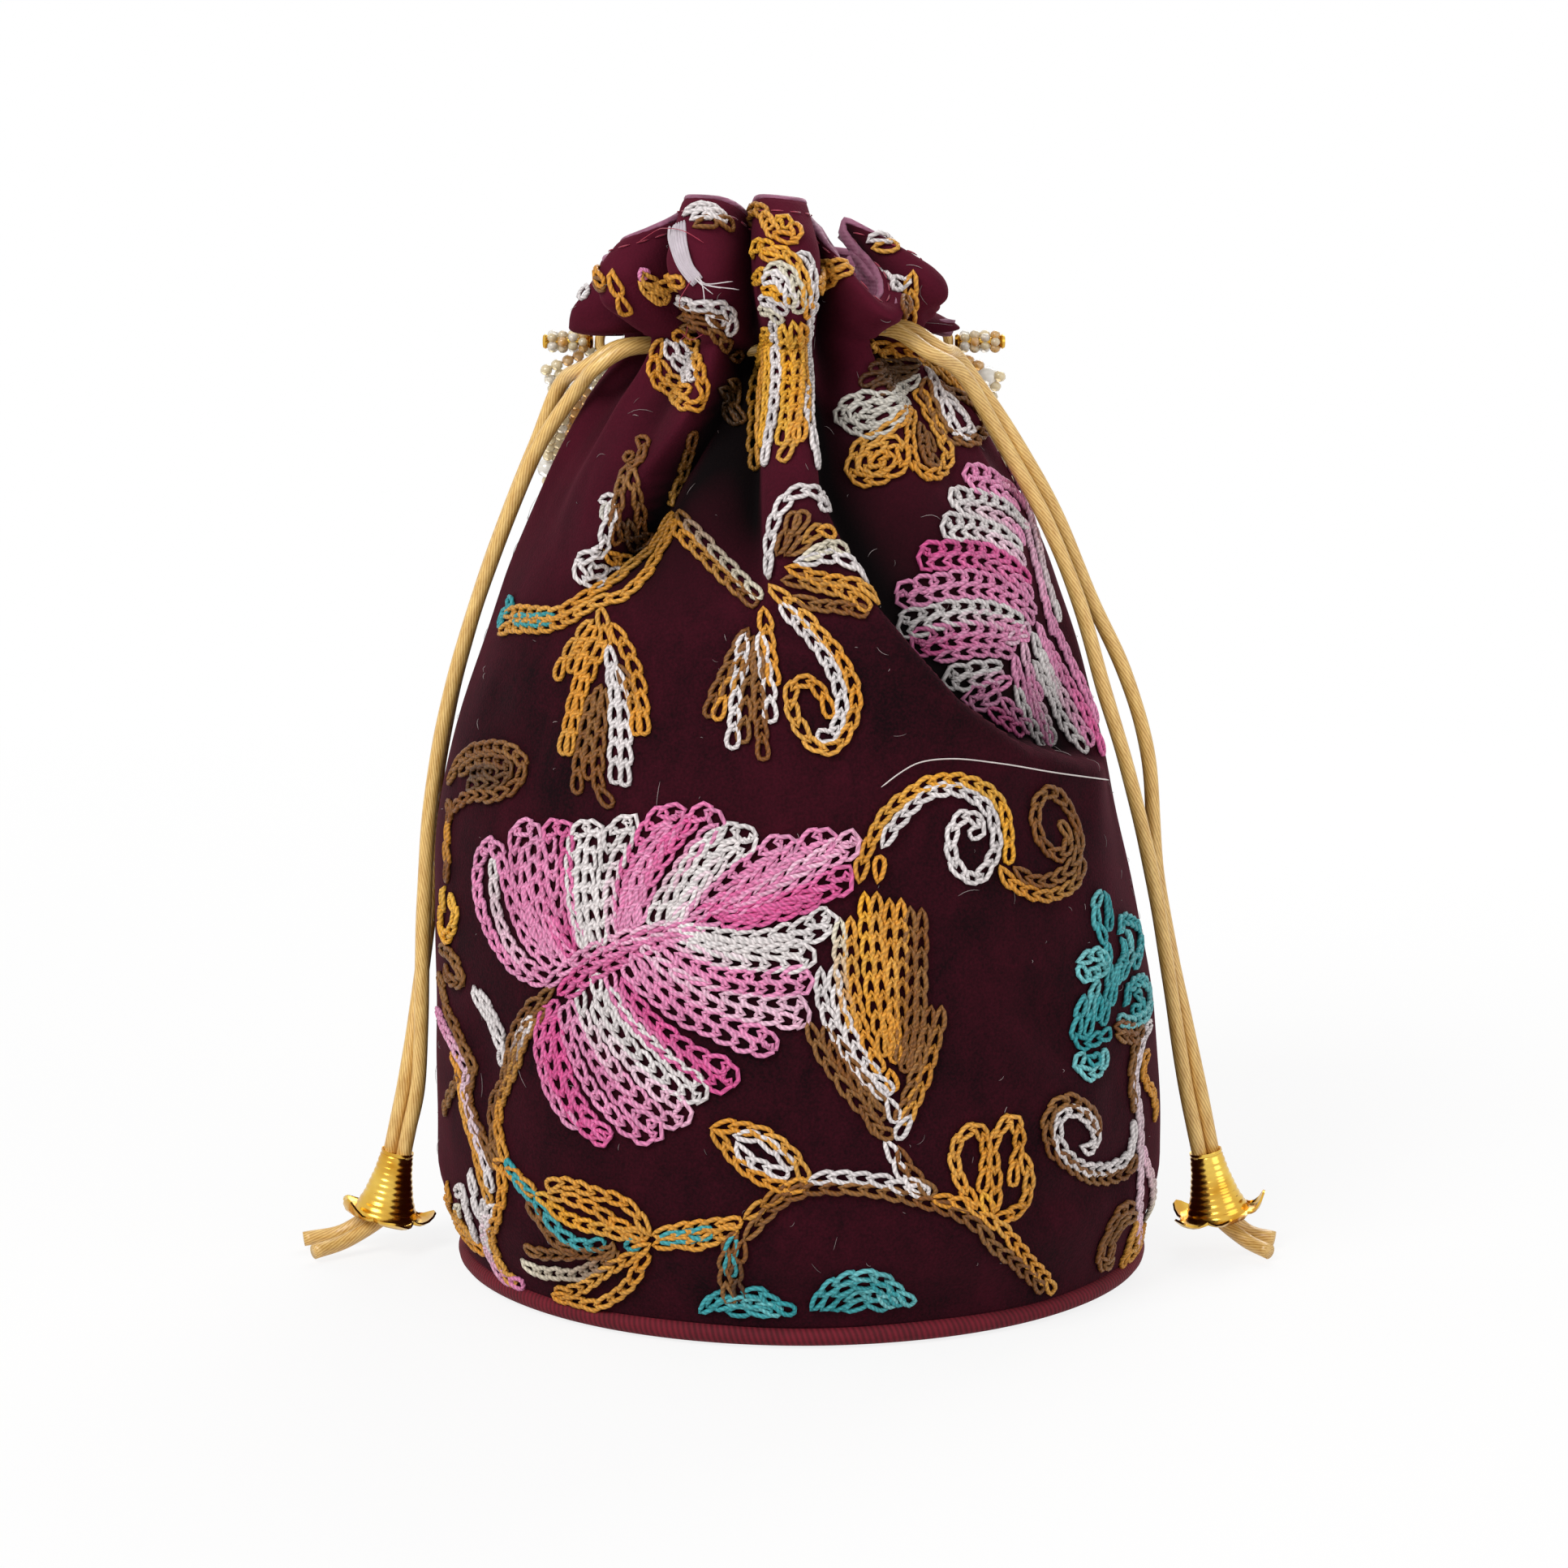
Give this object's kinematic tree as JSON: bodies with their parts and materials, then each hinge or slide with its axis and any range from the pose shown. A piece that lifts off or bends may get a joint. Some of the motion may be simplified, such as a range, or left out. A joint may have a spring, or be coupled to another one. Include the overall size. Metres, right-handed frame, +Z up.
{
  "type": "drawstring potli bag",
  "caption": "Velvet drawstring pouch with a gathered neck, chain-stitch flowers, satin cords ending in bells and a beaded carrying handle.",
  "frame": {"origin": "centre of the base panel's underside, on the surface that the bag stands on", "axes": "+Z up through the mouth, -Y towards the front with the large flower, +X to the right seen from the front"},
  "size_m": [0.1955, 0.1472, 0.2121],
  "materials": {
    "velvet": "dark wine-red velvet pile with a purple sheen at grazing angles",
    "lining_satin": "mauve satin, soft sheen",
    "crimson_cloth": "crimson corded piping cloth, matt",
    "gold_cord": "golden silky twisted cord, satin sheen",
    "gilt_metal": "bright gilt, polished, ringed",
    "glass_beads": "champagne glass seed beads with cream pearls",
    "pink_thread": "variegated pink and white silk thread, chain stitch",
    "orange_thread": "orange silk thread, chain stitch",
    "brown_thread": "brown silk thread, chain stitch",
    "white_thread": "off-white silk thread, chain stitch",
    "teal_thread": "teal silk thread, chain stitch"
  },
  "bodies": {
    "bag": {"velvet_wall": "velvet", "lining": "lining_satin", "base_panel": "crimson_cloth", "base_piping": "crimson_cloth", "left_drawcord": "gold_cord", "right_drawcord": "gold_cord", "left_front_tail": "gold_cord", "left_back_tail": "gold_cord", "right_front_tail": "gold_cord", "right_back_tail": "gold_cord", "handle_loop_left": "gold_cord", "handle_loop_right": "gold_cord", "left_bell": "gilt_metal", "right_bell": "gilt_metal", "front_lotus_flower": "pink_thread", "back_lotus_flower": "pink_thread", "right_pink_flower": "pink_thread", "front_tulip_bud": "orange_thread", "back_tulip_bud": "orange_thread", "front_curled_tendril": "orange_thread", "back_curled_tendril": "orange_thread", "left_petals": "orange_thread", "vine_tulip": "orange_thread", "left_branch": "orange_thread", "vine_petal_upper": "orange_thread", "vine_petal_lower": "orange_thread", "neck_bud": "orange_thread", "pleat_curl": "orange_thread", "front_ground_vine": "brown_thread", "back_ground_vine": "brown_thread", "upper_petals": "brown_thread", "centre_petals": "brown_thread", "left_brown_leaf": "brown_thread", "left_stem": "brown_thread", "left_outer_stem": "brown_thread", "vine_leaf": "white_thread", "right_stem": "white_thread", "teal_flower": "teal_thread", "teal_leaf_left": "teal_thread", "teal_leaf_right": "teal_thread"},
    "handle": {"handle_bar_left": "gilt_metal", "handle_bar_right": "gilt_metal", "bead_strand_1": "glass_beads", "bead_strand_2": "glass_beads", "bead_strand_3": "glass_beads"}
  },
  "joints": [
    {"name": "handle_swing", "type": "hinge", "parent": "bag", "child": "handle", "pos_m": [-0.0055, 0.012, 0.1809], "axis": [1, 0, 0], "range_deg": [0, 147]}
  ]
}
